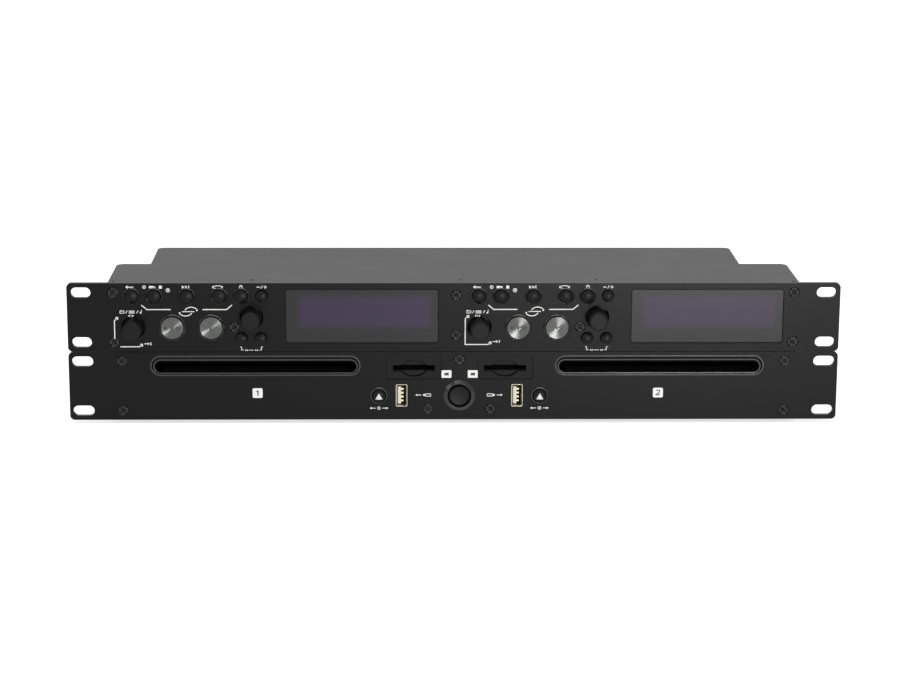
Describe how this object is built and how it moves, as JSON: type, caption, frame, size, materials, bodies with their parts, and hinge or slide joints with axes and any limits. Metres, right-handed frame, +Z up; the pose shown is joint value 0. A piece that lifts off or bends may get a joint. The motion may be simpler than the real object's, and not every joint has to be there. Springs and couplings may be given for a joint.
{
  "type": "dual cd player",
  "caption": "Rack player with two disc slots, card and USB inputs, and a stacked control unit with displays, knobs and transport buttons for each deck.",
  "frame": {"origin": "on the table, under the middle of the player's bounding box", "axes": "+X to the right seen from the front, front panels face -Y, +Z up"},
  "size_m": [0.4826, 0.362, 0.0904],
  "materials": {
    "panel": "black anodised, satin",
    "case": "satin black paint",
    "window": "tinted, polished",
    "lens": "clear tinted",
    "trim": "semi-gloss black",
    "button_plastic": "semi-gloss black",
    "spun_metal": "spun, clear anodised",
    "knob_plastic": "fine matt black",
    "shaft_steel": "turned",
    "socket_steel": "nickel plated",
    "socket_plastic": "moulded black",
    "frame_steel": "zinc plated",
    "spindle_plastic": "moulded",
    "sled_metal": "die cast",
    "circuit_board": "green board",
    "screw": "black oxide",
    "rubber": "moulded rubber"
  },
  "bodies": {
    "drive_unit": {"drive_front_panel": "panel", "drive_chassis": "case", "drive_top_cover": "case", "slot_trims": "trim", "card_bezels": "trim", "usb_sockets": "socket_steel", "lower_button_collars": "trim", "disc_frames": "frame_steel", "drive_circuit_boards": "circuit_board", "power_supply": "circuit_board", "rear_sockets": "socket_plastic", "power_inlet": "socket_plastic", "drive_screws": "screw", "drive_feet": "rubber"},
    "control_unit": {"control_front_panel": "panel", "control_case": "case", "control_top_cover": "case", "display_window_1": "window", "display_window_2": "window", "deck_leds": "lens", "button_collars": "trim", "control_board": "circuit_board", "control_screws": "screw", "control_link_sockets": "socket_plastic", "control_bumpers": "rubber"},
    "back_button_1": {"back_button_1": "button_plastic"},
    "source_button_1": {"source_button_1": "button_plastic"},
    "single_button_1": {"single_button_1": "button_plastic"},
    "repeat_button_1": {"repeat_button_1": "button_plastic"},
    "time_button_1": {"time_button_1": "button_plastic"},
    "pitch_button_1": {"pitch_button_1": "button_plastic"},
    "search_back_button_1": {"search_back_button_1": "button_plastic"},
    "search_forward_button_1": {"search_forward_button_1": "button_plastic"},
    "cue_button_1": {"cue_button_1": "spun_metal"},
    "play_button_1": {"play_button_1": "spun_metal"},
    "select_shaft_1": {"select_shaft_1": "shaft_steel"},
    "select_knob_1": {"select_knob_1": "knob_plastic"},
    "pitch_knob_1": {"pitch_knob_1": "knob_plastic"},
    "eject_button_1": {"eject_button_1": "button_plastic"},
    "turntable_1": {"turntable_1": "spindle_plastic"},
    "pickup_sled_1": {"pickup_sled_1": "sled_metal"},
    "loading_roller_1": {"loading_roller_1": "rubber"},
    "back_button_2": {"back_button_2": "button_plastic"},
    "source_button_2": {"source_button_2": "button_plastic"},
    "single_button_2": {"single_button_2": "button_plastic"},
    "repeat_button_2": {"repeat_button_2": "button_plastic"},
    "time_button_2": {"time_button_2": "button_plastic"},
    "pitch_button_2": {"pitch_button_2": "button_plastic"},
    "search_back_button_2": {"search_back_button_2": "button_plastic"},
    "search_forward_button_2": {"search_forward_button_2": "button_plastic"},
    "cue_button_2": {"cue_button_2": "spun_metal"},
    "play_button_2": {"play_button_2": "spun_metal"},
    "select_shaft_2": {"select_shaft_2": "shaft_steel"},
    "select_knob_2": {"select_knob_2": "knob_plastic"},
    "pitch_knob_2": {"pitch_knob_2": "knob_plastic"},
    "eject_button_2": {"eject_button_2": "button_plastic"},
    "turntable_2": {"turntable_2": "spindle_plastic"},
    "pickup_sled_2": {"pickup_sled_2": "sled_metal"},
    "loading_roller_2": {"loading_roller_2": "rubber"},
    "power_button": {"power_button": "button_plastic"}
  },
  "joints": [
    {"name": "control_unit_lift", "type": "slide", "parent": "drive_unit", "child": "control_unit", "axis": [0, 0, 1], "range_m": [0, 0.06]},
    {"name": "back_press_1", "type": "slide", "parent": "control_unit", "child": "back_button_1", "axis": [0, 1, 0], "range_m": [0, 0.0008], "stiffness_N_per_m": 800, "springref_m": -0.0008},
    {"name": "source_press_1", "type": "slide", "parent": "control_unit", "child": "source_button_1", "axis": [0, 1, 0], "range_m": [0, 0.0008], "stiffness_N_per_m": 800, "springref_m": -0.0008},
    {"name": "single_press_1", "type": "slide", "parent": "control_unit", "child": "single_button_1", "axis": [0, 1, 0], "range_m": [0, 0.0008], "stiffness_N_per_m": 800, "springref_m": -0.0008},
    {"name": "repeat_press_1", "type": "slide", "parent": "control_unit", "child": "repeat_button_1", "axis": [0, 1, 0], "range_m": [0, 0.0008], "stiffness_N_per_m": 800, "springref_m": -0.0008},
    {"name": "time_press_1", "type": "slide", "parent": "control_unit", "child": "time_button_1", "axis": [0, 1, 0], "range_m": [0, 0.0008], "stiffness_N_per_m": 800, "springref_m": -0.0008},
    {"name": "pitch_press_1", "type": "slide", "parent": "control_unit", "child": "pitch_button_1", "axis": [0, 1, 0], "range_m": [0, 0.0008], "stiffness_N_per_m": 800, "springref_m": -0.0008},
    {"name": "search_back_press_1", "type": "slide", "parent": "control_unit", "child": "search_back_button_1", "axis": [0, 1, 0], "range_m": [0, 0.0008], "stiffness_N_per_m": 800, "springref_m": -0.0008},
    {"name": "search_forward_press_1", "type": "slide", "parent": "control_unit", "child": "search_forward_button_1", "axis": [0, 1, 0], "range_m": [0, 0.0008], "stiffness_N_per_m": 800, "springref_m": -0.0008},
    {"name": "cue_press_1", "type": "slide", "parent": "control_unit", "child": "cue_button_1", "axis": [0, 1, 0], "range_m": [0, 0.0008], "stiffness_N_per_m": 800, "springref_m": -0.0008},
    {"name": "play_press_1", "type": "slide", "parent": "control_unit", "child": "play_button_1", "axis": [0, 1, 0], "range_m": [0, 0.0008], "stiffness_N_per_m": 800, "springref_m": -0.0008},
    {"name": "select_push_1", "type": "slide", "parent": "control_unit", "child": "select_shaft_1", "axis": [0, 1, 0], "range_m": [0, 0.0005], "stiffness_N_per_m": 2000, "springref_m": -0.0005},
    {"name": "select_turn_1", "type": "hinge", "parent": "select_shaft_1", "child": "select_knob_1", "pos_m": [-0.2002, -0.168, 0.0622], "axis": [0, -1, 0], "continuous": true},
    {"name": "pitch_turn_1", "type": "hinge", "parent": "control_unit", "child": "pitch_knob_1", "pos_m": [-0.1267, -0.168, 0.0685], "axis": [0, -1, 0], "continuous": true},
    {"name": "eject_press_1", "type": "slide", "parent": "drive_unit", "child": "eject_button_1", "axis": [0, 1, 0], "range_m": [0, 0.0008], "stiffness_N_per_m": 800, "springref_m": -0.0008},
    {"name": "turntable_spin_1", "type": "hinge", "parent": "drive_unit", "child": "turntable_1", "pos_m": [-0.1246, -0.088, 0.033], "axis": [0, 0, 1], "continuous": true},
    {"name": "pickup_travel_1", "type": "slide", "parent": "drive_unit", "child": "pickup_sled_1", "axis": [0, 1, 0], "range_m": [0, 0.034]},
    {"name": "roller_turn_1", "type": "hinge", "parent": "drive_unit", "child": "loading_roller_1", "pos_m": [-0.1246, -0.151, 0.029], "axis": [1, 0, 0], "continuous": true},
    {"name": "back_press_2", "type": "slide", "parent": "control_unit", "child": "back_button_2", "axis": [0, 1, 0], "range_m": [0, 0.0008], "stiffness_N_per_m": 800, "springref_m": -0.0008},
    {"name": "source_press_2", "type": "slide", "parent": "control_unit", "child": "source_button_2", "axis": [0, 1, 0], "range_m": [0, 0.0008], "stiffness_N_per_m": 800, "springref_m": -0.0008},
    {"name": "single_press_2", "type": "slide", "parent": "control_unit", "child": "single_button_2", "axis": [0, 1, 0], "range_m": [0, 0.0008], "stiffness_N_per_m": 800, "springref_m": -0.0008},
    {"name": "repeat_press_2", "type": "slide", "parent": "control_unit", "child": "repeat_button_2", "axis": [0, 1, 0], "range_m": [0, 0.0008], "stiffness_N_per_m": 800, "springref_m": -0.0008},
    {"name": "time_press_2", "type": "slide", "parent": "control_unit", "child": "time_button_2", "axis": [0, 1, 0], "range_m": [0, 0.0008], "stiffness_N_per_m": 800, "springref_m": -0.0008},
    {"name": "pitch_press_2", "type": "slide", "parent": "control_unit", "child": "pitch_button_2", "axis": [0, 1, 0], "range_m": [0, 0.0008], "stiffness_N_per_m": 800, "springref_m": -0.0008},
    {"name": "search_back_press_2", "type": "slide", "parent": "control_unit", "child": "search_back_button_2", "axis": [0, 1, 0], "range_m": [0, 0.0008], "stiffness_N_per_m": 800, "springref_m": -0.0008},
    {"name": "search_forward_press_2", "type": "slide", "parent": "control_unit", "child": "search_forward_button_2", "axis": [0, 1, 0], "range_m": [0, 0.0008], "stiffness_N_per_m": 800, "springref_m": -0.0008},
    {"name": "cue_press_2", "type": "slide", "parent": "control_unit", "child": "cue_button_2", "axis": [0, 1, 0], "range_m": [0, 0.0008], "stiffness_N_per_m": 800, "springref_m": -0.0008},
    {"name": "play_press_2", "type": "slide", "parent": "control_unit", "child": "play_button_2", "axis": [0, 1, 0], "range_m": [0, 0.0008], "stiffness_N_per_m": 800, "springref_m": -0.0008},
    {"name": "select_push_2", "type": "slide", "parent": "control_unit", "child": "select_shaft_2", "axis": [0, 1, 0], "range_m": [0, 0.0005], "stiffness_N_per_m": 2000, "springref_m": -0.0005},
    {"name": "select_turn_2", "type": "hinge", "parent": "select_shaft_2", "child": "select_knob_2", "pos_m": [0.0158, -0.168, 0.0622], "axis": [0, -1, 0], "continuous": true},
    {"name": "pitch_turn_2", "type": "hinge", "parent": "control_unit", "child": "pitch_knob_2", "pos_m": [0.0893, -0.168, 0.0685], "axis": [0, -1, 0], "continuous": true},
    {"name": "eject_press_2", "type": "slide", "parent": "drive_unit", "child": "eject_button_2", "axis": [0, 1, 0], "range_m": [0, 0.0008], "stiffness_N_per_m": 800, "springref_m": -0.0008},
    {"name": "turntable_spin_2", "type": "hinge", "parent": "drive_unit", "child": "turntable_2", "pos_m": [0.129, -0.088, 0.033], "axis": [0, 0, 1], "continuous": true},
    {"name": "pickup_travel_2", "type": "slide", "parent": "drive_unit", "child": "pickup_sled_2", "axis": [0, 1, 0], "range_m": [0, 0.034]},
    {"name": "roller_turn_2", "type": "hinge", "parent": "drive_unit", "child": "loading_roller_2", "pos_m": [0.129, -0.151, 0.029], "axis": [1, 0, 0], "continuous": true},
    {"name": "power_press", "type": "slide", "parent": "drive_unit", "child": "power_button", "axis": [0, 1, 0], "range_m": [0, 0.002], "stiffness_N_per_m": 800, "springref_m": -0.001}
  ]
}
